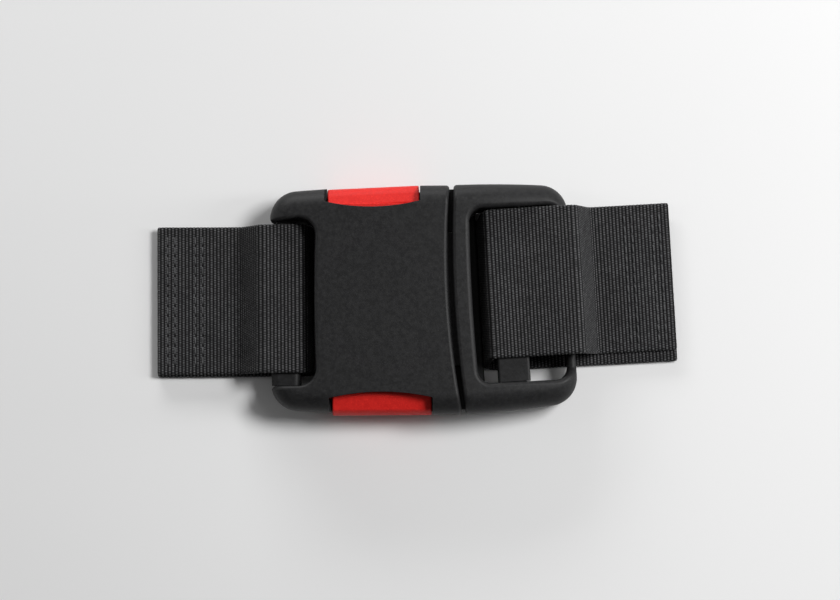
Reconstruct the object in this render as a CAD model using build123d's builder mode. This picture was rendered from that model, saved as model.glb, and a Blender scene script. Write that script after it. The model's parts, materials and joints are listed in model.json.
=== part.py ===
"""Closed push-button hip-belt buckle with the two webbing ends that are threaded on it.

Millimetres. +X runs along the belt from the female half to the male half, +Y runs towards the
upper push-button, and +Z points away from the wearer. The origin lies on the flat back face.
"""
import os
from math import radians, tan

from build123d import *

# Webbing
WEB_WIDTH = 50.6
WEB_THICK = 1.5
WEB_FLOOR = 0.3  # height of the lower layer's underside above the back face
LAYER_GAP = 0.05  # between the two layers where they are sewn together

# Housing, common to both halves
THICKNESS = 18.0
MID_Z = THICKNESS / 2  # parting plane of the two shells, and the plane of the buttons' axes
ROUNDING = 6.8  # large rounding of the outer edges
EDGE = 1.1  # small rounding of the slot and mouth edges
WINDOW_EDGE = 1.5
TILT = 2.7  # degrees by which the mouth, and the ladder frame with it, is turned from square
TILT_X = 12.0  # the point on the centre line that it is turned about

# Female half
LEFT_X = -50.8
LEFT_HALF = 36.7  # half height of the outline at the left end
SIDE_HALF = 38.7  # half height at the buttons
MOUTH_HALF = 38.9
MOUTH_MID_X = 9.6
MOUTH_SIDE_X = 12.2
CORNER_RADIUS = 9.5
SLOT_X = -34.9  # edge of the webbing slot, at its corners
SLOT_SAG = 0.8  # how far the middle of that edge stands further left
SLOT_LOW = 29.1  # the slot's lower edge, below the centre line
SLOT_HIGH = (28.9, 26.6)  # the slot's upper edge, at its corner and at the outline's end
SLOT_CORNER = 6.0

# Cavity of the female half; depths are measured from the parting plane, both ways
CAVITY_X = -32.8
CAVITY_HALF = 23.0
CAVITY_DEPTH = 6.2

# Tongues along the mouth, beside the cavity, that slide into grooves of the ladder frame
TONGUE_Y = (23.0, 37.4)
TONGUE_REACH = 2.4
TONGUE_DEPTH = 4.0
GROOVE_REACH = 1.4  # into the ladder frame's shoulder
GROOVE_CLEAR = 0.35

# Push-buttons. The mouth is slanted, so the lower button (-1) sits further right than the upper
# one (1), and the X of all that belongs to a button is measured from the button's two ends.
BUTTON_X = {1: (-31.1, 0.0), -1: (-29.9, 3.7)}
POCKET = (-0.3, 0.3)
RELIEF = (-1.2, 0.3)  # of the front wall, for the thumb
RELIEF_DEPTH = 3.6
FLANGE = (-2.7, 1.8)
FLANGE_POCKET = (-2.9, 2.0)
NOSE = (6.4, -6.8)
LEDGES = (5.0, -5.6)  # the guide block's edge, and the ledge that the latch arm hooks behind
HOOK = (7.0, -5.9)
SPRINGS = (2.4, -2.4)
BUTTON_BACK = 31.5  # inner face of a button at rest, from the centre line
CAP_BACK = 32.1
BUTTON_CREASE = {1: 35.8, -1: 37.3}
BUTTON_OUT = {1: 38.6, -1: 39.1}
BUTTON_TURN = {1: 2.2, -1: 0.0}  # degrees, so that the cap follows the outline beside it
BUTTON_CREASE_RADIUS = 0.6
BUTTON_CLEAR = 44.0  # far enough out to be clear of all the rest
FLANGE_OUT = 33.3
NOSE_TIP = 26.9
NOSE_HALF = 3.5
LIP_BACK = 29.6
LIP_DEPTH = (4.4, 5.9)
CRESCENT_APEX = 31.3  # the front wall's edge over a button, at its middle
CRESCENT_END = 33.3

# Ledges, catch plates and springs, as distances from the centre line
LEDGE_TOP = 27.2
LIP_PATH = 25.2
PLATE_THICK = 1.0
PLATE_TOP = 26.6
SPRING_SEAT = 25.0
SPRING_TOP = 35.0
SPRING_BORE = 1.95
SPRING_RADIUS = 1.45
SPRING_WIRE = 0.22
SPRING_TURNS = 6
PIN_RADIUS = 0.9
PIN_ROOT = 23.4
PIN_END = 30.8

# Male half
SHOULDER_MID_X = 11.6
SHOULDER_SIDE_X = 13.6
SHOULDER_HALF = 39.0
RIGHT_X = 51.9
RIGHT_HALF = 36.9
RIGHT_Z = 12.8  # height of the front face at the rim
WINDOW_X = (17.6, 48.8)
WINDOW_Y = (-29.2, 30.2)
WINDOW_CORNER = 4.5
TOE_X = 20.55  # the mouth wall's foot, which closes the back of the slot beside it
TOE_Z = 4.0
RIM_UNDERSIDE = 3.6
ROOT_X = (1.5, 11.2)  # the sandwich of frame, latch arms and cover
ROOT_END = 15.0  # how far the root reaches into the ladder frame
ROOT_HALF = 22.6
ROOT_DEPTH = 5.8
ARM_DEPTH = 3.1
SPINE_HALF = 7.2
SPINE_X = -30.0
ARM_SIDE = (19.2, 22.4)  # the springing part of a latch arm, from the centre line
HOOK_OUT = 26.6

# Cross-bars that the webbing goes round
LEFT_BAR_X = (-50.6, -40.5)
LEFT_BAR_Z = (5.6, 10.6)
LEFT_BAR_Y = (-28.8, 26.3)
LEFT_BAR_EDGE = 2.4
LEFT_TENON_X = (LEFT_BAR_X[0] + 2.1, LEFT_BAR_X[1] - 1.8)
LEFT_TENON_Z = (LEFT_BAR_Z[0] + 1.0, LEFT_BAR_Z[1] - 1.0)
RIGHT_BAR_X = (25.0, 36.0)
RIGHT_BAR_Z = (8.2, 12.2)
RIGHT_BAR_Y = (-28.9, 28.2)
RIGHT_BAR_EDGE = 0.9
RIGHT_TENON_X = (RIGHT_BAR_X[0] + 1.2, RIGHT_BAR_X[1] - 1.2)
RIGHT_TENON_Z = (RIGHT_BAR_Z[0], RIGHT_BAR_Z[1] - 1.2)
TENON_END = 33.0

# Screws
HOUSING_SCREWS = [(-37.5, 33.0), (-37.5, -33.0), (6.2, 31.2), (9.2, -31.2)]
ROOT_SCREWS = [(6.4, 12.4), (6.4, 17.6), (6.4, -12.4), (6.4, -17.6)]
SCREW_RADIUS = 1.1
HEAD_RADIUS = 2.1
HEAD_HEIGHT = 1.5
EJECTOR_MARKS = [(-22.0, 12.0), (-22.0, -12.0), (0.0, 12.0), (0.0, -12.0)]
EJECTOR_RADIUS = 2.6

SIDES = {"upper": 1, "lower": -1}


def save(part, name):
    """Label a finished piece and write its STEP file."""
    part.label = name
    export_step(part, f"parts/{name}.step")


def block(x, y, z, mode=Mode.ADD):
    """A box between two values on each axis, in either order."""
    centre = [(pair[0] + pair[1]) / 2 for pair in (x, y, z)]
    size = [abs(pair[1] - pair[0]) for pair in (x, y, z)]
    with Locations(tuple(centre)):
        Box(*size, mode=mode)


def cut(x, y, z):
    """Take a box away."""
    block(x, y, z, mode=Mode.SUBTRACT)


def drum_y(x, y, radius, mode=Mode.ADD):
    """A cylinder along Y on the parting plane, between two values of Y."""
    with Locations(Location((x, (y[0] + y[1]) / 2, MID_Z), (90, 0, 0))):
        Cylinder(radius, abs(y[1] - y[0]), mode=mode)


def drum_z(x, y, z, radius, mode=Mode.ADD):
    """A cylinder along Z between two heights."""
    with Locations((x, y, (z[0] + z[1]) / 2)):
        Cylinder(radius, abs(z[1] - z[0]), mode=mode)


def both(side, pair):
    """A pair of distances from the centre line, on one side of it."""
    return (side * pair[0], side * pair[1])


def depths(face, pair):
    """A pair of distances from the parting plane, towards the front (1) or the back (-1)."""
    return (MID_Z + face * pair[0], MID_Z + face * pair[1])


def span(side, ends):
    """The X range of something that belongs to a side's button."""
    return (BUTTON_X[side][0] + ends[0], BUTTON_X[side][1] + ends[1])


def slanted(x, y):
    """A point of the slanted mouth, from where it would be on a square one."""
    return (x - y * tan(radians(TILT)), y)


def tilted(part):
    """A piece of the ladder frame, turned with the slanted mouth."""
    return part.rotate(Axis((TILT_X, 0, 0), (0, 0, 1)), TILT)


def female_plan():
    """Outline of the female half, seen from the front."""
    with BuildSketch() as plan:
        with BuildLine():
            mouth = ThreePointArc(
                slanted(MOUTH_SIDE_X, -MOUTH_HALF),
                slanted(MOUTH_MID_X, 0),
                slanted(MOUTH_SIDE_X, MOUTH_HALF),
            )
            top = ThreePointArc(mouth @ 1, (-15, SIDE_HALF), (LEFT_X, LEFT_HALF))
            bottom = ThreePointArc((LEFT_X, -LEFT_HALF), (-15, -SIDE_HALF), mouth @ 0)
            Line(top @ 1, bottom @ 0)
        make_face()
        fillet(plan.vertices().group_by(Axis.X)[0], CORNER_RADIUS)
    return plan.sketch


def slot_plan():
    """The webbing slot of the female half, open towards the left."""
    high, end_high = SLOT_HIGH
    fall = (high - end_high) / (SLOT_X - LEFT_X)
    open_x = LEFT_X - 10
    with BuildSketch() as plan:
        with BuildLine():
            edge = ThreePointArc((SLOT_X, -SLOT_LOW), (SLOT_X - SLOT_SAG, 0), (SLOT_X, high))
            open_high = high - fall * (SLOT_X - open_x)
            Polyline(edge @ 1, (open_x, open_high), (open_x, -SLOT_LOW), edge @ 0)
        make_face()
        fillet(plan.vertices().group_by(Axis.X)[-1], SLOT_CORNER)
    return plan.sketch


def crescent_plan(side):
    """The part of the front wall that is cut away over a button."""
    left, right = span(side, RELIEF)
    far = side * BUTTON_CLEAR
    with BuildSketch() as plan:
        with BuildLine():
            edge = ThreePointArc(
                (left, side * CRESCENT_END),
                ((left + right) / 2, side * CRESCENT_APEX),
                (right, side * CRESCENT_END),
            )
            Polyline(edge @ 1, (right, far), (left, far), edge @ 0)
        make_face()
    return plan.sketch


def male_plan():
    """Outline of the male half, seen from the front."""
    with BuildSketch() as plan:
        with BuildLine():
            shoulder = ThreePointArc(
                (SHOULDER_SIDE_X, -SHOULDER_HALF),
                (SHOULDER_MID_X, 0),
                (SHOULDER_SIDE_X, SHOULDER_HALF),
            )
            top = ThreePointArc(shoulder @ 1, (34, 38.3), (RIGHT_X, RIGHT_HALF))
            bottom = ThreePointArc((RIGHT_X, -RIGHT_HALF), (34, -38.3), shoulder @ 0)
            Line(top @ 1, bottom @ 0)
        make_face()
        fillet(plan.vertices().group_by(Axis.X)[-1], CORNER_RADIUS)
    return plan.sketch


def window_plan():
    """The window of the male half's ladder frame."""
    low, high = WINDOW_Y
    left, right = WINDOW_X
    with BuildSketch() as plan:
        with BuildLine():
            edge = ThreePointArc((left + 0.7, low), (left, 0), (left + 0.7, high))
            Polyline(edge @ 1, (right, high), (right, low), edge @ 0)
        make_face()
        fillet(plan.vertices(), WINDOW_CORNER)
    return plan.sketch


def tongue_plan(side, reach, clear):
    """A strip along the mouth on one side, from inside the wall to a reach beyond the edge."""
    corners = []
    for y, back in ((TONGUE_Y[0] - clear, -1), (TONGUE_Y[1] + clear, -1)):
        share = (y / MOUTH_HALF) ** 2
        square_x = MOUTH_MID_X + share * (MOUTH_SIDE_X - MOUTH_MID_X)
        corners.append((slanted(square_x + back, side * y), slanted(square_x + reach, side * y)))
    (near_back, near_front), (far_back, far_front) = corners
    with BuildSketch() as plan:
        with BuildLine():
            Polyline(near_back, near_front, far_front, far_back, close=True)
        make_face()
    return plan.sketch


def side_profile(front_points):
    """Side view of a half: flat back, and a front that is an arc through three points."""
    with BuildSketch(Plane.XZ) as profile:
        with BuildLine():
            front = ThreePointArc(*front_points)
            Polyline(front @ 1, ((front @ 1).X, -1), ((front @ 0).X, -1), front @ 0)
        make_face()
    return profile.sketch


def carve_shell(face):
    """Take the room for latch, buttons, springs and screws out of one shell."""
    deep = depths(face, (-1, CAVITY_DEPTH))
    cut((CAVITY_X, 15), (-CAVITY_HALF, CAVITY_HALF), deep)
    for side in SIDES.values():
        guide, ledge = span(side, LEDGES)
        cut((guide, ledge), both(side, (22, LEDGE_TOP + 1)), deep)
        cut(span(side, FLANGE_POCKET), both(side, (LEDGE_TOP, FLANGE_OUT + 0.2)), deep)
        lip_depth = depths(face, (LIP_DEPTH[0] - 0.2, CAVITY_DEPTH))
        cut(span(side, FLANGE_POCKET), both(side, (LIP_PATH, LEDGE_TOP)), lip_depth)
        cut(span(side, POCKET), both(side, (FLANGE_OUT, BUTTON_CLEAR)), deep)
        cut((ledge - 1, ledge + PLATE_THICK), both(side, (22, PLATE_TOP)), depths(face, (-1, 4.2)))
        for x in span(side, SPRINGS):
            drum_y(x, both(side, (SPRING_SEAT, SPRING_TOP)), SPRING_BORE, Mode.SUBTRACT)
            drum_y(x, both(side, (PIN_ROOT, SPRING_SEAT + 1)), PIN_RADIUS, Mode.SUBTRACT)
        cut(LEFT_TENON_X, both(side, (LEFT_BAR_Y[1] - 1, TENON_END)), LEFT_TENON_Z)


def add_tongues(face):
    """Half of the thickness of the two tongues, on one shell."""
    for side in SIDES.values():
        plan = Plane.XY.offset(MID_Z) * tongue_plan(side, TONGUE_REACH, 0)
        extrude(plan, amount=face * TONGUE_DEPTH)


def round_outline(edges, mouth_x, radius):
    """Give the outline's edges their large rounding, except along the parting of the halves."""
    fillet([e for e in edges if abs(e.center().X - mouth_x) > 2.5], radius)


def soften(builder, x, half_y, z, radius):
    """Round the edges whose middles lie in a region, leaving out the tall upright ones."""
    chosen = []
    for edge in builder.edges():
        middle = edge.center()
        inside = x[0] <= middle.X <= x[1] and abs(middle.Y) <= half_y and z[0] <= middle.Z <= z[1]
        if inside and edge.bounding_box().size.Z <= ROUNDING + 0.5:
            chosen.append(edge)
    fillet(chosen, radius)


# ---------------------------------------------------------------- female half
os.makedirs("parts", exist_ok=True)

with BuildPart() as front_shell:
    with BuildSketch(Plane.XY.offset(MID_Z)):
        add(female_plan())
    extrude(amount=MID_Z + 1)
    extrude(
        side_profile([(LEFT_X - 2, 16.8), (-20, 17.8), (20, THICKNESS)]),
        amount=60,
        both=True,
        mode=Mode.INTERSECT,
    )
    round_outline(front_shell.faces().sort_by(Axis.Z)[-1].edges(), MOUTH_MID_X, ROUNDING)
    extrude(slot_plan(), amount=THICKNESS + 2, mode=Mode.SUBTRACT)
    soften(front_shell, (LEFT_X, SLOT_X + 0.1), SLOT_LOW + 0.1, (MID_Z + 0.2, THICKNESS), EDGE)
    soften(front_shell, (MOUTH_MID_X - 0.1, 15), MOUTH_HALF + 1, (MID_Z + 0.2, 20), EDGE)
    carve_shell(1)
    add_tongues(1)
    for side in SIDES.values():
        crescent = Plane.XY.offset(MID_Z + RELIEF_DEPTH) * crescent_plan(side)
        extrude(crescent, amount=THICKNESS, mode=Mode.SUBTRACT)
    for x, y in HOUSING_SCREWS:
        drum_z(x, y, (MID_Z - 1, 13.6), SCREW_RADIUS, Mode.SUBTRACT)
save(front_shell.part, "front_shell")

with BuildPart() as back_shell:
    with BuildSketch():
        add(female_plan())
    extrude(amount=MID_Z)
    round_outline(back_shell.faces().sort_by(Axis.Z)[0].edges(), MOUTH_MID_X, ROUNDING)
    extrude(slot_plan(), amount=THICKNESS, mode=Mode.SUBTRACT)
    soften(back_shell, (LEFT_X, SLOT_X + 0.1), SLOT_LOW + 0.1, (-1, MID_Z - 0.2), EDGE)
    soften(back_shell, (MOUTH_MID_X - 0.1, 15), MOUTH_HALF + 1, (-1, MID_Z - 0.2), EDGE)
    carve_shell(-1)
    add_tongues(-1)
    for x, y in HOUSING_SCREWS:
        drum_z(x, y, (-1, MID_Z + 1), SCREW_RADIUS, Mode.SUBTRACT)
        drum_z(x, y, (-1, 1.0 + HEAD_HEIGHT), HEAD_RADIUS + 0.1, Mode.SUBTRACT)
    for x, y in EJECTOR_MARKS:
        drum_z(x, y, (-1, 0.2), EJECTOR_RADIUS, Mode.SUBTRACT)
save(back_shell.part, "back_shell")


def screw(x, y, head_z, length):
    """A pan-head thread-forming screw, put in from the back, with a hexagon recess."""
    drum_z(x, y, (head_z, head_z + HEAD_HEIGHT), HEAD_RADIUS)
    drum_z(x, y, (head_z, head_z + HEAD_HEIGHT + length), SCREW_RADIUS)
    with BuildSketch(Plane.XY.offset(head_z)) as recess:
        with Locations((x, y)):
            RegularPolygon(1.1, 6)
    extrude(recess.sketch, amount=0.9, mode=Mode.SUBTRACT)


with BuildPart() as housing_screws:
    for x, y in HOUSING_SCREWS:
        screw(x, y, 1.0, 11.0)
save(housing_screws.part, "housing_screws")


def cross_bar(builder, x, y, z, tenon_x, tenon_z, edge):
    """A flat bar with rounded long edges and a tenon at each end."""
    block(x, y, z)
    fillet(builder.edges().filter_by(Axis.Y), edge)
    block(tenon_x, (-TENON_END, TENON_END), tenon_z)


with BuildPart() as left_cross_bar:
    cross_bar(
        left_cross_bar,
        LEFT_BAR_X,
        LEFT_BAR_Y,
        LEFT_BAR_Z,
        LEFT_TENON_X,
        LEFT_TENON_Z,
        LEFT_BAR_EDGE,
    )
save(left_cross_bar.part, "left_cross_bar")

for label, side in SIDES.items():
    ledge = span(side, LEDGES)[1]
    with BuildPart() as catch_plate:
        block(
            (ledge, ledge + PLATE_THICK),
            both(side, (CAVITY_HALF, PLATE_TOP)),
            (MID_Z - 4.2, MID_Z + 4.2),
        )
    save(catch_plate.part, f"{label}_catch_plate")

# ---------------------------------------------------------------- push-buttons


def button_section(side):
    """Section of a button's cap across the buckle: front and back facets and a bowed face."""
    low, high = LIP_DEPTH
    crease, back = side * BUTTON_CREASE[side], side * CAP_BACK
    with BuildSketch(Plane.YZ.offset(BUTTON_X[side][0])) as section:
        with BuildLine():
            face = ThreePointArc(
                (crease, MID_Z - low), (side * BUTTON_OUT[side], MID_Z), (crease, MID_Z + low)
            )
            Polyline(face @ 1, (back, MID_Z + high), (back, MID_Z - high), face @ 0)
        make_face()
        outer = section.vertices().sort_by(lambda v: -abs(v.Y))[:2]
        fillet(outer, BUTTON_CREASE_RADIUS)
    return section.sketch


for label, side in SIDES.items():
    left, right = BUTTON_X[side]
    with BuildPart() as cap:
        extrude(button_section(side), amount=right - left)
        ends = cap.faces().filter_by(Axis.X).edges()
        fillet([e for e in ends if abs(e.center().Y) > CAP_BACK + 0.3], 0.5)
    cap_middle = ((left + right) / 2, side * BUTTON_CREASE[side], 0)
    with BuildPart() as button:
        add(cap.part.rotate(Axis(cap_middle, (0, 0, 1)), BUTTON_TURN[side]))
        for face in (1, -1):
            lip_y = both(side, (LIP_BACK, CAP_BACK + 0.5))
            block((left, right), lip_y, depths(face, LIP_DEPTH))
        block(
            span(side, FLANGE), both(side, (BUTTON_BACK, FLANGE_OUT)), (MID_Z - 4.1, MID_Z + 4.1)
        )
        nose_y = both(side, (NOSE_TIP, BUTTON_BACK + 1))
        block(span(side, NOSE), nose_y, (MID_Z - NOSE_HALF, MID_Z + NOSE_HALF))
        for x in span(side, SPRINGS):
            drum_y(x, both(side, (BUTTON_BACK - 1, SPRING_TOP)), SPRING_BORE, Mode.SUBTRACT)
    save(button.part, f"{label}_button")

    with BuildPart() as spring_pins:
        for x in span(side, SPRINGS):
            drum_y(x, both(side, (PIN_ROOT, PIN_END)), PIN_RADIUS)
    save(spring_pins.part, f"{label}_spring_pins")

    for place, x in zip(("bar", "mouth"), span(side, SPRINGS)):
        clear = SPRING_WIRE + 0.03
        height = SPRING_TOP - SPRING_SEAT - 2 * clear
        with BuildPart() as spring:
            with BuildLine() as wire:
                Helix(
                    height / SPRING_TURNS,
                    height,
                    SPRING_RADIUS,
                    center=(x, side * (SPRING_SEAT + clear), MID_Z),
                    direction=(0, side, 0),
                )
            with BuildSketch(Plane(origin=wire.line @ 0, z_dir=wire.line % 0)):
                Circle(SPRING_WIRE)
            sweep(path=wire.line, is_frenet=True)
        save(spring.part, f"{label}_{place}_spring")

# ---------------------------------------------------------------- male half
with BuildPart() as ladder_frame:
    with BuildSketch():
        add(male_plan())
    extrude(amount=THICKNESS + 1)
    extrude(
        side_profile([(5, THICKNESS + 0.1), (30, 16.9), (RIGHT_X + 1, RIGHT_Z)]),
        amount=60,
        both=True,
        mode=Mode.INTERSECT,
    )
    round_outline(ladder_frame.faces().sort_by(Axis.Z)[-1].edges(), SHOULDER_MID_X, ROUNDING)
    round_outline(ladder_frame.faces().sort_by(Axis.Z)[0].edges(), SHOULDER_MID_X, 5.0)
    extrude(window_plan(), amount=THICKNESS + 2, mode=Mode.SUBTRACT)
    window_range = (WINDOW_X[0] - 0.2, WINDOW_X[1] + 0.2)
    soften(ladder_frame, window_range, WINDOW_Y[1] + 0.1, (5, 20), WINDOW_EDGE)
    soften(ladder_frame, (SHOULDER_MID_X - 0.1, SHOULDER_SIDE_X + 0.1), SHOULDER_HALF, (-1, 20), EDGE)
    block((WINDOW_X[0] - 1, TOE_X), (WINDOW_Y[0] - 1, WINDOW_Y[1] + 1), (0, TOE_Z))
    toe_edges = ladder_frame.edges().filter_by_position(Axis.X, TOE_X - 0.1, TOE_X + 0.1)
    fillet(toe_edges.filter_by(Axis.Y).group_by(Axis.Z)[-1], 0.8)
    cut((WINDOW_X[1] - 5, RIGHT_X + 1), WINDOW_Y, (-1, RIM_UNDERSIDE))
    cut(RIGHT_TENON_X, (-TENON_END, TENON_END), RIGHT_TENON_Z)

with BuildPart() as male_frame:
    add(tilted(ladder_frame.part))
    for side in SIDES.values():
        gap = SHOULDER_SIDE_X - MOUTH_SIDE_X
        groove = tongue_plan(side, gap + GROOVE_REACH, GROOVE_CLEAR)
        height = TONGUE_DEPTH + GROOVE_CLEAR
        extrude(Plane.XY.offset(MID_Z) * groove, amount=height, both=True, mode=Mode.SUBTRACT)
    # spine that guides the halves together, and the front plate over the arms' roots
    block((SPINE_X, ROOT_END), (-SPINE_HALF, SPINE_HALF), depths(1, (-5.4, 5.4)))
    tip = male_frame.edges().filter_by(lambda e: abs(e.center().X - SPINE_X) < 0.01)
    chamfer(tip, 2.5)
    block((ROOT_X[0], ROOT_END), (-ROOT_HALF, ROOT_HALF), depths(1, (ARM_DEPTH, ROOT_DEPTH)))
    block((ROOT_X[1], ROOT_END), (-ROOT_HALF, ROOT_HALF), depths(1, (-ROOT_DEPTH, ROOT_DEPTH)))
    for x, y in ROOT_SCREWS:
        drum_z(x, y, (MID_Z, MID_Z + ROOT_DEPTH - 0.6), SCREW_RADIUS, Mode.SUBTRACT)
save(male_frame.part, "male_frame")

with BuildPart() as root_cover:
    for side in SIDES.values():
        block(ROOT_X, both(side, (SPINE_HALF, ROOT_HALF)), depths(-1, (ARM_DEPTH + 0.1, ROOT_DEPTH)))
    block(ROOT_X, (-ROOT_HALF, ROOT_HALF), depths(-1, (5.4, ROOT_DEPTH)))
    for x, y in ROOT_SCREWS:
        drum_z(x, y, (0, MID_Z), SCREW_RADIUS, Mode.SUBTRACT)
        drum_z(x, y, (0, MID_Z - ROOT_DEPTH + HEAD_HEIGHT), HEAD_RADIUS + 0.1, Mode.SUBTRACT)
save(root_cover.part, "root_cover")

with BuildPart() as root_screws:
    for x, y in ROOT_SCREWS:
        screw(x, y, MID_Z - ROOT_DEPTH, 8.6)
save(root_screws.part, "root_screws")


def arm_plan(side):
    """A latch arm from the front: root plate, springing arm and hook with a sloping lead-in."""
    inner, outer = ARM_SIDE
    tip, catch = span(side, HOOK)
    with BuildSketch() as plan:
        with BuildLine():
            Polyline(
                (ROOT_X[1], side * (SPINE_HALF + 0.1)),
                (ROOT_X[1], side * outer),
                (catch, side * outer),
                (catch, side * HOOK_OUT),
                (catch - 6, side * HOOK_OUT),
                (tip, side * (inner + 1.5)),
                (tip, side * inner),
                (ROOT_X[0], side * inner),
                (ROOT_X[0], side * (SPINE_HALF + 0.1)),
                close=True,
            )
        make_face()
        root = plan.vertices().filter_by(
            lambda v: abs(v.X - ROOT_X[0]) < 0.01 and abs(abs(v.Y) - inner) < 0.01
        )
        fillet(root, 3.0)
    return plan.sketch


for label, side in SIDES.items():
    with BuildPart() as latch_arm:
        with BuildSketch(Plane.XY.offset(MID_Z - ARM_DEPTH)):
            add(arm_plan(side))
        extrude(amount=2 * ARM_DEPTH)
        for x, y in ROOT_SCREWS:
            if y * side > 0:
                drum_z(x, y, (0, THICKNESS), SCREW_RADIUS, Mode.SUBTRACT)
    save(latch_arm.part, f"{label}_latch_arm")

with BuildPart() as right_cross_bar:
    cross_bar(
        right_cross_bar,
        RIGHT_BAR_X,
        RIGHT_BAR_Y,
        RIGHT_BAR_Z,
        RIGHT_TENON_X,
        RIGHT_TENON_Z,
        RIGHT_BAR_EDGE,
    )
save(tilted(right_cross_bar.part), "right_cross_bar")

# ---------------------------------------------------------------- webbing
# Each webbing lies slack in its slot: it rises at a slant from the back of the slot to the bar.
LOWER_Z = WEB_FLOOR + WEB_THICK / 2
UPPER_Z = LOWER_Z + WEB_THICK + LAYER_GAP
BAR_CLEAR = 0.3 + WEB_THICK / 2  # from a bar to the middle of the webbing round it
LEFT_END_X = -90.0
LEFT_SLACK_X = -36.2
LEFT_WEB_Y = 26.1  # its upper edge
RIGHT_END_X = 87.0
RIGHT_SLACK_X = 20.9
RIGHT_WEB_Y = 29.3
STITCH_COUNT = 13
STITCH_ROWS = (3.5, 6.0, 13.0, 15.5)  # from the webbing's sewn end


def strap(points, radii, high_y):
    """A flat band whose middle line runs through points in side view."""
    with BuildSketch(Plane.XZ.offset(-high_y)) as section:
        with BuildLine():
            FilletPolyline(*points, radius=radii)
        trace(line_width=WEB_THICK)
    extrude(section.sketch, amount=WEB_WIDTH)


with BuildPart() as left_webbing:
    bar_top = LEFT_BAR_Z[1] + BAR_CLEAR
    strap(
        [
            (LEFT_END_X, LOWER_Z),
            (LEFT_SLACK_X, LOWER_Z),
            (LEFT_BAR_X[1] + 0.6, bar_top),
            (-54.0, bar_top),
            (-61.0, UPPER_Z),
            (LEFT_END_X, UPPER_Z),
        ],
        [2.2, 4.0, 3.0, 3.0],
        LEFT_WEB_Y,
    )
save(left_webbing.part, "left_webbing")

with BuildPart() as right_webbing:
    bar_top = RIGHT_BAR_Z[1] + BAR_CLEAR
    strap(
        [
            (RIGHT_END_X, LOWER_Z),
            (RIGHT_SLACK_X, LOWER_Z),
            (RIGHT_BAR_X[0] - 1.3, bar_top),
            (RIGHT_BAR_X[1], bar_top),
            (47.0, 14.5),
            (54.0, 14.5),
            (59.5, UPPER_Z),
            (RIGHT_END_X, UPPER_Z),
        ],
        [2.2, 1.5, 8.0, 6.0, 3.0, 3.0],
        RIGHT_WEB_Y,
    )
save(tilted(right_webbing.part), "right_webbing")


def stitch_rows(x_rows, high_y):
    """Rows of thread across a webbing loop, each stitch its own short bar on the upper face."""
    top = UPPER_Z + WEB_THICK / 2
    pitch = (WEB_WIDTH - 6) / STITCH_COUNT
    for x in x_rows:
        for index in range(STITCH_COUNT):
            y = high_y - 3 - pitch * (index + 0.5)
            block((x - 0.35, x + 0.35), (y - 0.38 * pitch, y + 0.38 * pitch), (top, top + 0.3))


with BuildPart() as left_stitching:
    stitch_rows([LEFT_END_X + row for row in STITCH_ROWS], LEFT_WEB_Y)
save(left_stitching.part, "left_stitching")

with BuildPart() as right_stitching:
    stitch_rows([RIGHT_END_X - row for row in STITCH_ROWS], RIGHT_WEB_Y)
save(tilted(right_stitching.part), "right_stitching")
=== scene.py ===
"""Looks of the push-button hip-belt buckle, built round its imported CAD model. Metres."""
import json
import math

import bmesh
import bpy
import numpy as np
from mathutils import Matrix, Vector


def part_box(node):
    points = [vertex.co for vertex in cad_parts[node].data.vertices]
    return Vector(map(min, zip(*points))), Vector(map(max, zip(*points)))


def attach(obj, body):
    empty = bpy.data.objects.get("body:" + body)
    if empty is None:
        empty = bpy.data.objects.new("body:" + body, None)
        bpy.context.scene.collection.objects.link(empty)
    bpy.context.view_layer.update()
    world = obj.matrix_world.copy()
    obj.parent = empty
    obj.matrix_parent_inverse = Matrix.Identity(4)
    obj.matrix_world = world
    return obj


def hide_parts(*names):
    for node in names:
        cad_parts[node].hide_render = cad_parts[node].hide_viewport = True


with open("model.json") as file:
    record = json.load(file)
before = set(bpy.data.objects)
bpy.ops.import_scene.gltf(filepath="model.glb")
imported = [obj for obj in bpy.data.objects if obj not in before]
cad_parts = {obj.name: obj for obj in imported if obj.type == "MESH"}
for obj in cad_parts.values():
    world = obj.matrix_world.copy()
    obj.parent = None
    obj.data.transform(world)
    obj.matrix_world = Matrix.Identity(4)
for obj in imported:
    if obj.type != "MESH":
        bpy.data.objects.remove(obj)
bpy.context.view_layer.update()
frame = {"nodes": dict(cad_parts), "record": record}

MM = 0.001

# ---------------------------------------------------------------- webbing sizes
WEB_THICK = 1.5 * MM
WEB_WIDTH = 50.6 * MM
WEB_GAP = 0.05 * MM  # between the two layers where they are sewn together
BAR_CLEAR = 0.3 * MM  # between a cross-bar's top and the webbing over it
RIB_PITCH = 1.2 * MM
RIB_HEIGHT = 0.24 * MM
RIB_FLOOR = 0.62  # share of a rib's height that lies below the webbing's mean surface
STEPS_PER_RIB = 5
ARC_POINTS = 16  # for measuring a bend's length
BEADS_ACROSS = 60
BEAD_HEIGHT = 0.15 * MM
BEAD_PITCH = 0.818 * MM
PLAIN_STEPS = 24  # steps across the hidden inner face of a webbing loop
EDGE_STEPS = 5  # steps round each long edge
EDGE_STEP = 0.3 * MM  # length of cloth that each of them stands for
SELVEDGE_HEIGHT = 0.10 * MM
SELVEDGE_WIDTH = 2.2 * MM
SELVEDGE_RIB = 0.12 * MM  # how far the ribs stand out of the long edges
SEALED_LENGTH = 1.6 * MM  # melted smooth at a cut end
END_ROUNDING = 0.35 * MM
SEAL_LUMPS = 0.05 * MM
BOW = 0.10 * MM  # slow waves of the whole band
RIPPLE = 0.05 * MM
EDGE_WANDER = 0.12 * MM
NOISE_SIZES = (21 * MM, 6 * MM, 2.2 * MM)  # wavelengths of the waves, the ripples and the lumps
LAYER_LEAD = 7 * MM  # where along the turn the lower layer starts to shift to the upper one's place
LAYER_BLEND = 20 * MM

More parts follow.
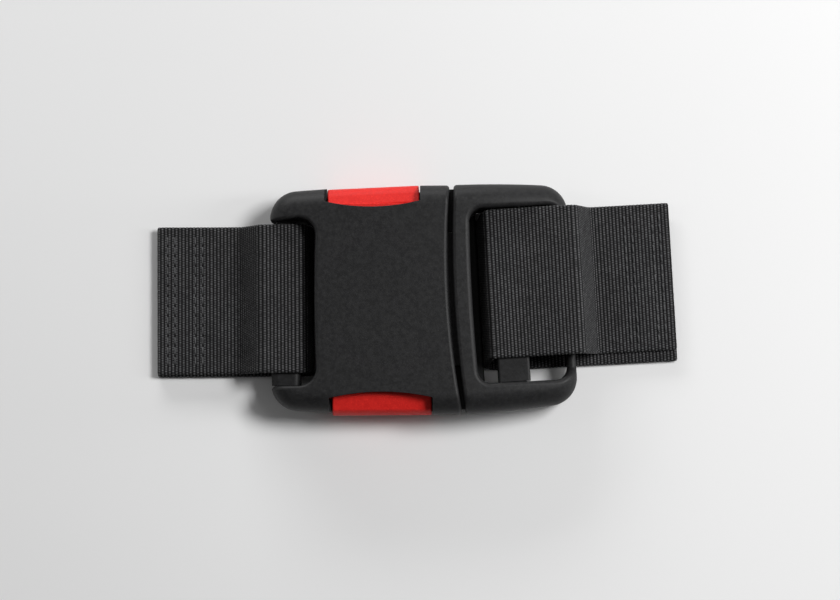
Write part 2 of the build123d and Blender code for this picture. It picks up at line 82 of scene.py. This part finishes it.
LEFT_SLACK_X = -36.2 * MM  # where the loop turns upwards inside the slot
LEFT_OVER_BAR = 0.6 * MM  # how far the loop's top corner stands past the bar
LEFT_FALL_X = (-54.0 * MM, -61.0 * MM)  # where the front layer leaves the bar's level and lands
LEFT_RADII = [2.2 * MM, 4.0 * MM, 3.0 * MM, 3.0 * MM]
LEFT_SHIFTS = (-0.8 * MM, 0.0)  # sideways, of the back layer and of the front layer

RIGHT_END_X = 87.0 * MM
RIGHT_SLACK_X = 20.9 * MM
RIGHT_TOP_X = (23.7 * MM, 36.0 * MM)  # the level run over the bar
RIGHT_REST_X = (47.0 * MM, 54.0 * MM)  # the level run over the outer rim
RIGHT_REST_Z = 14.5 * MM
RIGHT_LAND_X = 59.5 * MM
RIGHT_RADII = [2.2 * MM, 1.5 * MM, 8.0 * MM, 6.0 * MM, 3.0 * MM, 3.0 * MM]
RIGHT_HIGH_Y = 29.3 * MM
RIGHT_SHIFTS = (-3.2 * MM, 0.5 * MM)
TILT_PIVOT = Vector((12 * MM, 0, 0))  # the ladder frame and its webbing are turned about this

# ---------------------------------------------------------------- stitching sizes
THREAD_RADIUS = 0.30 * MM
THREAD_SIDES = 12
THREAD_RINGS = 15
THREAD_PLIES = 3
PLY_RELIEF = 0.16  # depth of the grooves between plies, as a share of the radius
PLY_TWIST = 7.0  # radians over half a stitch
THREAD_FLATTENING = 0.78  # height over width
STITCH_LIFT = 0.12 * MM
STITCH_DIP = 0.85 * MM  # how far a stitch's ends go down into the cloth
STITCH_INSET = 3 * MM  # from the webbing's upper edge to the first stitch
STITCH_COUNT = 13
STITCH_PITCH = 44.6 * MM / STITCH_COUNT
STITCH_LENGTH = 0.8 * STITCH_PITCH
STITCH_ROWS = [row * MM for row in (3.5, 6.0, 13.0, 15.5)]  # from a webbing's sewn end
STITCH_PULL = 0.13 * MM  # how far the rows draw the cloth in
PULL_REACH = 0.8 * MM

# ---------------------------------------------------------------- stage sizes
FLOOR_REACH = 3.0
WORLD_STRENGTH = 0.10
LIGHTS = [  # name, place, width and height, watts; all point at the origin
    ("key", (0.66, 0.30, 0.84), (0.40, 0.30), 10),
    ("rim", (-0.30, 1.0, 0.30), (0.8, 0.2), 7),
    ("left", (-1.0, 0.15, 0.40), (0.15, 0.7), 1.0),
    ("right", (1.0, 0.05, 0.36), (0.15, 0.7), 3.2),
]
CAMERA_DISTANCE = 0.90
CAMERA_AIM = Vector((0.0, 0.0, 0.010))
CAMERA_ELEVATION = math.radians(-4.0)  # above the straight front view
CAMERA_ROLL = math.radians(0.45)
SENSOR_WIDTH = 36.0  # millimetres, as the camera's lens is
FIELD_WIDTH = 0.2857  # what the picture's width takes in at the aim


# ---------------------------------------------------------------- node helpers
class Nodes:
    """Short calls for building one material's node tree."""

    def __init__(self, name, roughness=0.5, metallic=0.0, specular=0.5):
        self.material = bpy.data.materials.new(name)
        self.material.use_nodes = True
        self.tree = self.material.node_tree
        self.shader = self.tree.nodes["Principled BSDF"]
        self.shader.inputs["Roughness"].default_value = roughness
        self.shader.inputs["Metallic"].default_value = metallic
        self.shader.inputs["Specular IOR Level"].default_value = specular

    def add(self, kind, **settings):
        node = self.tree.nodes.new(kind)
        for key, value in settings.items():
            setattr(node, key, value)
        return node

    def link(self, source, target):
        self.tree.links.new(source, target)

    def plug(self, value, socket):
        """Give a socket a number, a colour or another node's output."""
        if isinstance(value, bpy.types.NodeSocket):
            self.link(value, socket)
        else:
            socket.default_value = value

    def math(self, operation, a, b=0.0, c=0.0, clamp=False):
        node = self.add("ShaderNodeMath", operation=operation, use_clamp=clamp)
        for value, socket in zip((a, b, c), node.inputs):
            self.plug(value, socket)
        return node.outputs[0]

    def position(self):
        return self.add("ShaderNodeTexCoord").outputs["Object"]

    def noise(self, scale, detail=2.0, roughness=0.5, vector=None):
        """Noise from 0 to 1; the scale is in repeats per metre."""
        node = self.add("ShaderNodeTexNoise")
        node.inputs["Scale"].default_value = scale
        node.inputs["Detail"].default_value = detail
        node.inputs["Roughness"].default_value = roughness
        self.link(vector or self.position(), node.inputs["Vector"])
        return node.outputs["Fac"]

    def cells(self, scale):
        node = self.add("ShaderNodeTexVoronoi", feature="F1")
        node.inputs["Scale"].default_value = scale
        self.link(self.position(), node.inputs["Vector"])
        return node.outputs["Distance"]

    def ramp(self, value, low, high, out_low=0.0, out_high=1.0):
        """Map low..high smoothly to out_low..out_high."""
        node = self.add("ShaderNodeMapRange", interpolation_type="SMOOTHSTEP")
        for key, number in zip(
            ("Value", "From Min", "From Max", "To Min", "To Max"),
            (value, low, high, out_low, out_high),
        ):
            self.plug(number, node.inputs[key])
        return node.outputs["Result"]

    def mix(self, factor, a, b):
        """Blend two colours; sockets 6, 7 and output 2 are the node's colour ones."""
        node = self.add("ShaderNodeMix", data_type="RGBA", blend_type="MIX")
        self.plug(factor, node.inputs["Factor"])
        self.plug(a, node.inputs[6])
        self.plug(b, node.inputs[7])
        return node.outputs[2]

    def bump(self, height, distance, strength=1.0, normal=None):
        node = self.add("ShaderNodeBump")
        node.inputs["Strength"].default_value = strength
        node.inputs["Distance"].default_value = distance
        self.link(height, node.inputs["Height"])
        if normal:
            self.link(normal, node.inputs["Normal"])
        return node.outputs["Normal"]

    def finish(self, colour=None, roughness=None, normal=None):
        for value, key in ((colour, "Base Color"), (roughness, "Roughness"), (normal, "Normal")):
            if value is not None:
                self.plug(value, self.shader.inputs[key])
        return self.material


def sharp_edge_mask(nodes, radius):
    """1 on sharp edges, 0 on open faces, from how far a rounded normal leans from the face's own. The
    moulding paints these edges lighter, partly as rubbed wear and partly as a painted highlight.
    """
    bevel = nodes.add("ShaderNodeBevel", samples=6)
    bevel.inputs["Radius"].default_value = radius
    geometry = nodes.add("ShaderNodeNewGeometry")
    dot = nodes.add("ShaderNodeVectorMath", operation="DOT_PRODUCT")
    nodes.link(bevel.outputs["Normal"], dot.inputs[0])
    nodes.link(geometry.outputs["Normal"], dot.inputs[1])
    return nodes.ramp(dot.outputs["Value"], 0.995, 0.88)


# ---------------------------------------------------------------- materials
def moulded_plastic(name, dark, light, roughness, specular=0.45):
    """Matte moulding: fine spark-eroded grain, light dust in its pits, scuffs, and sharp edges painted
    lighter, partly as rubbed wear and partly as a painted highlight along the edges.
    """
    n = Nodes(name, roughness, specular=specular)
    grain = n.noise(3200, 3.0, 0.6)
    pits = n.cells(1700)
    mottle = n.noise(700, 4.0, 0.65)
    dust = n.ramp(n.noise(1900, 2.0, 0.5), 0.55, 0.72)
    stretched = n.add("ShaderNodeMapping")
    stretched.inputs["Scale"].default_value = (60, 900, 300)
    stretched.inputs["Rotation"].default_value = (0, 0, 0.5)
    n.link(n.position(), stretched.inputs["Vector"])
    scuffs = n.ramp(n.noise(1.0, 3.0, 0.6, stretched.outputs["Vector"]), 0.70, 0.82)
    rubbed_and_highlit_edges = sharp_edge_mask(n, 0.5 * MM)

    def lighter(factor):
        return (*(min(1, factor * c) for c in light), 1)

    base = n.mix(n.ramp(mottle, 0.3, 0.7), (*dark, 1), (*light, 1))
    base = n.mix(n.math("MULTIPLY", dust, 0.30), base, lighter(2.2))
    # Painted highlight: sharp edges are lightened, partly as rubbed wear and partly as painted highlight
    # where light catches the edges.
    base = n.mix(n.math("MULTIPLY", rubbed_and_highlit_edges, 0.25), base, lighter(2.4))
    base = n.mix(n.math("MULTIPLY", scuffs, 0.10), base, lighter(2.4))
    rough = n.ramp(mottle, 0.3, 0.7, roughness - 0.03, roughness + 0.05)
    rough = n.math("ADD", rough, n.math("MULTIPLY", rubbed_and_highlit_edges, -0.10))
    height = n.math("ADD", n.math("MULTIPLY", grain, 0.6), n.math("MULTIPLY", pits, 0.5))
    bevel = n.add("ShaderNodeBevel", samples=6)
    bevel.inputs["Radius"].default_value = 0.18 * MM
    normal = n.bump(height, 0.045 * MM, 0.55, bevel.outputs["Normal"])
    return n.finish(base, rough, normal)


def steel(name, dark, light, roughness):
    """Drawn or hardened steel with fine streaks and a little tarnish."""
    n = Nodes(name, roughness, metallic=1.0)
    stretched = n.add("ShaderNodeMapping")
    stretched.inputs["Scale"].default_value = (4000, 500, 4000)
    n.link(n.position(), stretched.inputs["Vector"])
    streaks = n.noise(1.0, 3.0, 0.6, stretched.outputs["Vector"])
    tarnish = n.noise(420, 3.0, 0.6)
    base = n.mix(n.ramp(tarnish, 0.35, 0.7), (*dark, 1), (*light, 1))
    rough = n.ramp(streaks, 0.3, 0.7, roughness - 0.08, roughness + 0.10)
    return n.finish(base, rough, n.bump(streaks, 0.01 * MM, 0.4))


def woven_webbing(name):
    """Polyamide webbing: cross ribs with beads of warp yarn on them, loose fibres and sheen. The rib crests
    and beads are painted light and the valleys between them near-black, as painted highlight and painted
    shade.
    """
    n = Nodes(name, 0.8, specular=0.15)
    uv = n.add("ShaderNodeUVMap", uv_map="cloth")
    split = n.add("ShaderNodeSeparateXYZ")
    n.link(uv.outputs["UV"], split.inputs["Vector"])
    turns = n.math("MULTIPLY", split.outputs["X"], 1.0 / RIB_PITCH)
    crest = n.ramp(n.math("PINGPONG", turns, 0.5), 0.10, 0.42)
    parity = n.math("PINGPONG", n.math("FLOOR", turns), 1.0)
    beads = n.math("MULTIPLY", split.outputs["Y"], 1.0 / BEAD_PITCH)
    shifted = n.math("ADD", beads, n.math("MULTIPLY", parity, 0.5))
    bead = n.ramp(n.math("PINGPONG", shifted, 0.5), 0.04, 0.40)
    fibre_map = n.add("ShaderNodeMapping")
    fibre_map.inputs["Scale"].default_value = (2600, 9000, 1)
    n.link(uv.outputs["UV"], fibre_map.inputs["Vector"])
    fibres = n.noise(1.0, 3.0, 0.65, fibre_map.outputs["Vector"])
    yarn = n.noise(1050, 2.0, 0.6)
    patch = n.noise(150, 3.0, 0.6)
    # Painted highlight and painted shade: crests and beads get the near-grey colour and the valleys the
    # near-black one, varied by random fibre, yarn and patch tone.
    level = n.math("MULTIPLY", crest, n.math("ADD", n.math("MULTIPLY", bead, 0.84), 0.16))
    level = n.math("MULTIPLY", level, n.ramp(fibres, 0.25, 0.75, 0.7, 1.15))
    level = n.math("MULTIPLY", level, n.ramp(yarn, 0.3, 0.7, 0.55, 1.25))
    level = n.math("MULTIPLY", level, n.ramp(patch, 0.3, 0.7, 0.85, 1.12), clamp=True)
    base = n.mix(level, (0.0045, 0.0045, 0.005, 1), (0.112, 0.112, 0.115, 1))
    normal = n.bump(n.math("ADD", fibres, n.math("MULTIPLY", yarn, 0.8)), 0.09 * MM, 0.8)
    n.shader.inputs["Sheen Weight"].default_value = 0.08
    n.shader.inputs["Sheen Roughness"].default_value = 0.45
    return n.finish(base, n.ramp(fibres, 0.2, 0.8, 0.74, 0.92), normal)


def sewing_thread(name):
    """Bonded thread: three twisted plies with a waxy sheen."""
    n = Nodes(name, 0.55, specular=0.45)
    fibres = n.noise(5200, 3.0, 0.6)
    patch = n.noise(600, 2.0)
    base = n.mix(n.ramp(patch, 0.3, 0.7), (0.020, 0.020, 0.022, 1), (0.055, 0.055, 0.058, 1))
    n.shader.inputs["Sheen Weight"].default_value = 0.2
    return n.finish(base, n.ramp(fibres, 0.3, 0.7, 0.5, 0.68), n.bump(fibres, 0.05 * MM, 0.5))


def make_materials():
    """One material for each slot of the record."""
    black, black_light = (0.011, 0.011, 0.0115), (0.019, 0.019, 0.0195)
    red, red_light = (0.60, 0.014, 0.011), (0.68, 0.020, 0.015)
    grey, grey_light = (0.085, 0.085, 0.09), (0.11, 0.11, 0.115)
    return {
        "black_moulding": moulded_plastic("black_moulding", black, black_light, 0.50, 0.22),
        "red_moulding": moulded_plastic("red_moulding", red, red_light, 0.52, 0.2),
        "grey_acetal": moulded_plastic("grey_acetal", grey, grey_light, 0.38),
        "blackened_steel": steel("blackened_steel", (0.05, 0.05, 0.055), (0.10, 0.10, 0.105), 0.42),
        "spring_steel": steel("spring_steel", (0.40, 0.40, 0.41), (0.56, 0.56, 0.57), 0.28),
        "black_webbing": woven_webbing("black_webbing"),
        "black_thread": sewing_thread("black_thread"),
    }


def dress_nodes():
    """Give every CAD node the material of its slot."""
    for entry in frame["record"]["subparts"]:
        node = frame["nodes"][entry["node"]]
        node.data.materials.clear()
        node.data.materials.append(MATERIALS[entry["material_slot"]])


# ---------------------------------------------------------------- webbing
def rounded_path(points, radii, step):
    """Points at an even step along straight runs joined by tangent arcs, in side view (x, z)."""
    points = [np.array(p, float) for p in points]
    dense = [points[0]]
    for index, radius in enumerate(radii, start=1):
        before, corner, after = points[index - 1], points[index], points[index + 1]
        inward = (before - corner) / np.linalg.norm(before - corner)
        outward = (after - corner) / np.linalg.norm(after - corner)
        half_angle = math.acos(np.clip(inward @ outward, -1, 1)) / 2
        reach = radius / math.tan(half_angle)
        bisector = (inward + outward) / np.linalg.norm(inward + outward)
        centre = corner + bisector * radius / math.sin(half_angle)
        start, end = corner + inward * reach - centre, corner + outward * reach - centre
        sweep = math.pi - 2 * half_angle
        for t in np.linspace(0, 1, ARC_POINTS):
            blend = start * math.sin((1 - t) * sweep) + end * math.sin(t * sweep)
            dense.append(centre + blend / math.sin(sweep))
    dense.append(points[-1])
    dense = np.array(dense)
    length = np.concatenate([[0], np.cumsum(np.linalg.norm(np.diff(dense, axis=0), axis=1))])
    count = int(round(length[-1] / step))
    even = np.linspace(0, length[-1], count + 1)
    path = np.stack([np.interp(even, length, dense[:, k]) for k in (0, 1)], axis=1)
    return path, even


def eased(t):
    """0 to 1 with a level start and end."""
    return t * t * (3 - 2 * t)


def soft_noise(seed, size):
    """A smooth repeatable random function of one value; size is its wavelength."""
    count, start = 64, 11.3
    knots = np.random.default_rng(seed).uniform(-1, 1, count)

    def sample(value):
        position = np.asarray(value) / size + start
        low = np.floor(position).astype(int)
        t = eased(position - low)
        return knots[low % count] * (1 - t) + knots[(low + 1) % count] * t

    return sample


def tilt_of_frame():
    """The turn of the ladder frame about +Z, from the direction in which its webbing leaves."""
    mounts = {mount["name"]: mount for mount in frame["record"]["mounts"]}
    axis = mounts["right_webbing_end"]["axis"]
    return math.atan2(axis[1], axis[0])


def turn(points, angle):
    """Turn points about +Z round the ladder frame's pivot."""
    cosine, sine = math.cos(angle), math.sin(angle)
    x = points[..., 0] - TILT_PIVOT.x
    y = points[..., 1] - TILT_PIVOT.y
    return np.stack(
        [TILT_PIVOT.x + x * cosine - y * sine, TILT_PIVOT.y + x * sine + y * cosine, points[..., 2]],
        axis=-1,
    )


def loop_ring(width):
    """A webbing's outline in rows of (across, outward, sideways, 1 where beads show or else 0)."""
    half = WEB_THICK / 2
    flat = width - 2 * half
    fine = [(half + flat * k / (2 * BEADS_ACROSS), 1.0, 0.0, 1.0) for k in range(2 * BEADS_ACROSS + 1)]
    angles = np.linspace(0, math.pi, EDGE_STEPS + 2)[1:-1]
    far = [(width - half, math.cos(a), math.sin(a), 0.0) for a in angles]
    plain = [(half + flat * k / PLAIN_STEPS, -1.0, 0.0, 0.0) for k in reversed(range(PLAIN_STEPS + 1))]
    near = [(half, -math.cos(a), -math.sin(a), 0.0) for a in angles]
    return np.array(fine + far + plain + near)


def layer_shift(path, along, shifts):
    """How far each point stands to the side, from the lower layer's shift to the upper one's."""
    turning = along[np.argmax(np.abs(path[:, 0] - path[0, 0]))]
    t = np.clip((along - turning + LAYER_LEAD) / LAYER_BLEND, 0, 1)
    return shifts[0] + (shifts[1] - shifts[0]) * eased(t)


def webbing_grid(path, along, low_y, outer, shifts, seed):
    """A woven band's points, one ring of its outline for each point of a side-view path."""
    half = WEB_THICK / 2
    tangent = np.gradient(path, axis=0)
    tangent /= np.linalg.norm(tangent, axis=1)[:, None]
    normal = outer * np.stack([-tangent[:, 1], tangent[:, 0]], axis=1)
    across, outward, sideways, beaded = (column[None, :] for column in loop_ring(WEB_WIDTH).T)
    s = along[:, None]

    random = np.random.default_rng(seed)
    drift, ripple, lumps = (soft_noise(seed + k, size) for k, size in enumerate(NOISE_SIZES))
    rib_index = np.floor(s / RIB_PITCH + 1e-6).astype(int)
    bead_turns = (across - half) / BEAD_PITCH + 0.5 * (rib_index % 2)
    bead_index = np.floor(bead_turns).astype(int)
    rib_size = random.uniform(0.8, 1.15, int(rib_index.max()) + 1)[rib_index]
    bead_size = random.uniform(0.55, 1.3, (97, 89))[rib_index % 97, bead_index % 89]

    end = np.minimum(s, along[-1] - s)
    sealed = np.clip(1 - end / SEALED_LENGTH, 0, 1)
    closing = np.sqrt(np.clip(end / END_ROUNDING, 0.04, 1))
    crest = np.abs(np.sin(math.pi * (s / RIB_PITCH)))
    uneven = 0.05 * ripple(across * 0.6 + s * 0.2)
    rib = RIB_HEIGHT * rib_size * (crest - RIB_FLOOR + uneven)
    bead = np.abs(np.sin(math.pi * bead_turns)) - 0.5
    rib = (rib + BEAD_HEIGHT * bead_size * crest * bead * beaded) * (1 - sealed)
    from_edge = WEB_WIDTH / 2 - np.abs(across - WEB_WIDTH / 2)
    selvedge = SELVEDGE_HEIGHT * np.clip(1 - from_edge / SELVEDGE_WIDTH, 0, 1)
    front = (s > along[-1] / 2) & (outward > 0.5)
    pull = sum(np.exp(-(((along[-1] - s - row) / PULL_REACH) ** 2)) for row in STITCH_ROWS)
    lumpy = SEAL_LUMPS * lumps(s + 3 * across) * sealed
    thick = half + rib * np.abs(outward) + selvedge - STITCH_PULL * pull * front + lumpy
    bow = BOW * drift(s + 0.4 * across) + RIPPLE * ripple(s * 0.3 + across * 2.1)
    offset = outward * thick * closing + bow
    looped = SELVEDGE_RIB * crest * (1 - sealed) * np.abs(sideways)
    wander = EDGE_WANDER * drift(s * 0.6 + 5) * np.sign(sideways)
    side = sideways * (half + looped) * closing + wander
    y = low_y + across + side + layer_shift(path, along, shifts)[:, None]
    return np.stack([path[:, :1] + normal[:, :1] * offset, y, path[:, 1:] + normal[:, 1:] * offset], axis=-1)


def girth_of_ring():
    """How far round its outline each point of a webbing lies; this is its place across the weave."""
    ring = loop_ring(WEB_WIDTH)
    beaded = 2 * BEADS_ACROSS + 1
    girth = np.concatenate([ring[:beaded, 0] - WEB_THICK / 2, np.zeros(len(ring) - beaded)])
    for k in range(beaded, len(ring)):
        step = EDGE_STEP * (ring[k, 2] != 0)
        girth[k] = girth[k - 1] + math.hypot(ring[k, 0] - ring[k - 1, 0], step)
    return girth


def webbing_mesh(name, path, along, low_y, outer, shifts, seed):
    """A woven band along a side-view path: ribs, beads, tubular selvedges and fused ends."""
    grid = webbing_grid(path, along, low_y, outer, shifts, seed)
    girth = girth_of_ring()
    count, cols = grid.shape[:2]
    i, j = np.meshgrid(np.arange(count - 1), np.arange(cols), indexing="ij")
    k = (j + 1) % cols
    faces = np.stack([i * cols + j, (i + 1) * cols + j, (i + 1) * cols + k, i * cols + k], axis=-1)
    second = np.where(k == 0, girth[-1] + EDGE_STEP, girth[k])
    corners = [(along[i], girth[j]), (along[i + 1], girth[j]), (along[i + 1], second), (along[i], second)]
    uvs = np.stack([np.stack(pair, axis=-1) for pair in corners], axis=-2).reshape(-1, 2)
    last = (count - 1) * cols
    caps = [tuple(range(cols)), tuple(last + c for c in reversed(range(cols)))]
    cap_uvs = [(0.0, g) for g in girth] + [(along[-1], g) for g in girth[::-1]]
    mesh = bpy.data.meshes.new(name)
    mesh.from_pydata(grid.reshape(-1, 3).tolist(), [], faces.reshape(-1, 4).tolist() + caps)
    layer = mesh.uv_layers.new(name="cloth")
    layer.data.foreach_set("uv", np.concatenate([uvs, cap_uvs]).astype(np.float32).ravel())
    return face_outwards(mesh)


def face_outwards(mesh):
    """Point a closed mesh's faces outwards and shade it smooth."""
    work = bmesh.new()
    work.from_mesh(mesh)
    bmesh.ops.recalc_face_normals(work, faces=work.faces)
    work.to_mesh(mesh)
    work.free()
    mesh.shade_smooth()
    return mesh


def turned(mesh, angle):
    """Turn a mesh with the ladder frame."""
    place = np.empty(len(mesh.vertices) * 3)
    mesh.vertices.foreach_get("co", place)
    mesh.vertices.foreach_set("co", turn(place.reshape(-1, 3), angle).ravel())
    mesh.update()
    return mesh


def stand_for(mesh, node, body, slot):
    """Put a mesh in the scene in place of a plain CAD node."""
    piece = bpy.data.objects.new(mesh.name, mesh)
    bpy.context.scene.collection.objects.link(piece)
    mesh.materials.append(MATERIALS[slot])
    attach(piece, body)
    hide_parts(node)


def stitch(x, middle_y, surface_z, outward):
    """One stitch along Y: a twisted thread that comes up, lies flat and goes down."""
    verts = []
    for r in range(THREAD_RINGS):
        t = 2 * r / (THREAD_RINGS - 1) - 1
        y = middle_y + t * STITCH_LENGTH / 2
        lift = STITCH_LIFT - STITCH_DIP * abs(t) ** 7
        for k in range(THREAD_SIDES):
            angle = 2 * math.pi * k / THREAD_SIDES
            ply = abs(math.cos(THREAD_PLIES / 2 * angle - PLY_TWIST * t))
            radius = THREAD_RADIUS * (1 - PLY_RELIEF + PLY_RELIEF * ply)
            height = lift + THREAD_FLATTENING * radius * math.sin(angle)
            verts.append((x + radius * math.cos(angle), y, surface_z + outward * height))
    return verts


def stitching_mesh(name, end_x, inwards, high_y, faces_z):
    """Rows of stitches across a webbing loop, on its front and on its back."""
    verts, faces = [], []
    for surface_z, outward in faces_z:
        for row in STITCH_ROWS:
            for index in range(STITCH_COUNT):
                y = high_y - STITCH_INSET - STITCH_PITCH * (index + 0.5)
                base = len(verts)
                verts += stitch(end_x + inwards * row, y, surface_z, outward)
                for ring in range(base, len(verts) - THREAD_SIDES, THREAD_SIDES):
                    for k in range(THREAD_SIDES):
                        a, b = ring + k, ring + (k + 1) % THREAD_SIDES
                        faces.append((a, b, b + THREAD_SIDES, a + THREAD_SIDES))
                faces.append(tuple(reversed(range(base, base + THREAD_SIDES))))
                faces.append(tuple(range(len(verts) - THREAD_SIDES, len(verts))))
    mesh = bpy.data.meshes.new(name)
    mesh.from_pydata(verts, [], faces)
    return face_outwards(mesh)


def left_route(back, front):
    """Side view of the left webbing: in along the back, up through the slot, back over the bar."""
    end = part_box("left_webbing")[0].x
    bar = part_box("left_cross_bar")[1]
    top = bar.z + BAR_CLEAR + WEB_THICK / 2
    leave, land = LEFT_FALL_X
    points = [(end, back), (LEFT_SLACK_X, back), (bar.x + LEFT_OVER_BAR, top)]
    points += [(leave, top), (land, front), (end, front)]
    return rounded_path(points, LEFT_RADII, RIB_PITCH / STEPS_PER_RIB)


def right_route(back, front):
    """Side view of the right webbing, which also lies on the outer rim, before its frame is turned."""
    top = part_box("right_cross_bar")[1].z + BAR_CLEAR + WEB_THICK / 2
    points = [(RIGHT_END_X, back), (RIGHT_SLACK_X, back)]
    points += [(x, top) for x in RIGHT_TOP_X] + [(x, RIGHT_REST_Z) for x in RIGHT_REST_X]
    points += [(RIGHT_LAND_X, front), (RIGHT_END_X, front)]
    return rounded_path(points, RIGHT_RADII, RIB_PITCH / STEPS_PER_RIB)


def build_webbing():
    """Both woven loops and their stitching, in place of the CAD's plain bands and bars."""
    low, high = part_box("left_webbing")
    back = low.z + WEB_THICK / 2
    front = back + WEB_THICK + WEB_GAP
    surfaces = [(front + WEB_THICK / 2, 1), (back - WEB_THICK / 2, -1)]

    path, along = left_route(back, front)
    mesh = webbing_mesh("left_webbing_woven", path, along, low.y, -1, LEFT_SHIFTS, 3)
    stand_for(mesh, "left_webbing", "female_half", "black_webbing")
    mesh = stitching_mesh("left_stitching_thread", low.x, 1, high.y, surfaces)
    stand_for(mesh, "left_stitching", "female_half", "black_thread")

    tilt = tilt_of_frame()
    path, along = right_route(back, front)
    low_y = RIGHT_HIGH_Y - WEB_WIDTH
    mesh = webbing_mesh("right_webbing_woven", path, along, low_y, 1, RIGHT_SHIFTS, 8)
    stand_for(turned(mesh, tilt), "right_webbing", "male_half", "black_webbing")
    mesh = stitching_mesh("right_stitching_thread", RIGHT_END_X, -1, RIGHT_HIGH_Y, surfaces)
    stand_for(turned(mesh, tilt), "right_stitching", "male_half", "black_thread")


# ---------------------------------------------------------------- stage
def add_light(name, place, size, power):
    light = bpy.data.lights.new(name, "AREA")
    light.shape = "RECTANGLE"
    light.size, light.size_y = size
    light.energy = power
    lamp = bpy.data.objects.new(name, light)
    lamp.location = place
    lamp.rotation_euler = (-Vector(place)).to_track_quat("-Z", "Y").to_euler()
    bpy.context.scene.collection.objects.link(lamp)


def stage():
    """Plain pale floor and soft studio lights."""
    mesh = bpy.data.meshes.new("floor")
    corners = [(x * FLOOR_REACH, y * FLOOR_REACH, 0) for x, y in ((-1, -1), (1, -1), (1, 1), (-1, 1))]
    mesh.from_pydata(corners, [], [(0, 1, 2, 3)])
    floor = bpy.data.objects.new("floor", mesh)
    bpy.context.scene.collection.objects.link(floor)
    n = Nodes("floor_paper", 0.9, specular=0.2)
    tone = n.ramp(n.noise(3.0), 0.2, 0.8)
    mesh.materials.append(n.finish(n.mix(tone, (0.80, 0.80, 0.80, 1), (0.83, 0.83, 0.83, 1))))

    world = bpy.data.worlds.new("studio")
    bpy.context.scene.world = world
    world.use_nodes = True
    background = world.node_tree.nodes["Background"]
    background.inputs["Color"].default_value = (1, 1, 1, 1)
    background.inputs["Strength"].default_value = WORLD_STRENGTH
    bpy.context.scene.view_settings.view_transform = "Standard"
    for light in LIGHTS:
        add_light(*light)


def add_camera():
    """A distant camera that looks almost straight down on the buckle's front."""
    back = Vector((0, math.sin(CAMERA_ELEVATION), math.cos(CAMERA_ELEVATION)))
    level = Vector((1, 0, 0))
    upright = back.cross(level)
    cosine, sine = math.cos(CAMERA_ROLL), math.sin(CAMERA_ROLL)
    right, up = level * cosine - upright * sine, level * sine + upright * cosine
    data = bpy.data.cameras.new("camera")
    camera = bpy.data.objects.new("camera", data)
    bpy.context.scene.collection.objects.link(camera)
    rotation = Matrix((right, up, back)).transposed().to_4x4()
    camera.matrix_world = Matrix.Translation(CAMERA_AIM + back * CAMERA_DISTANCE) @ rotation
    data.sensor_width = SENSOR_WIDTH
    data.lens = SENSOR_WIDTH * CAMERA_DISTANCE / FIELD_WIDTH
    data.clip_start = 0.01
    bpy.context.scene.camera = camera


MATERIALS = make_materials()
dress_nodes()
build_webbing()
stage()
add_camera()
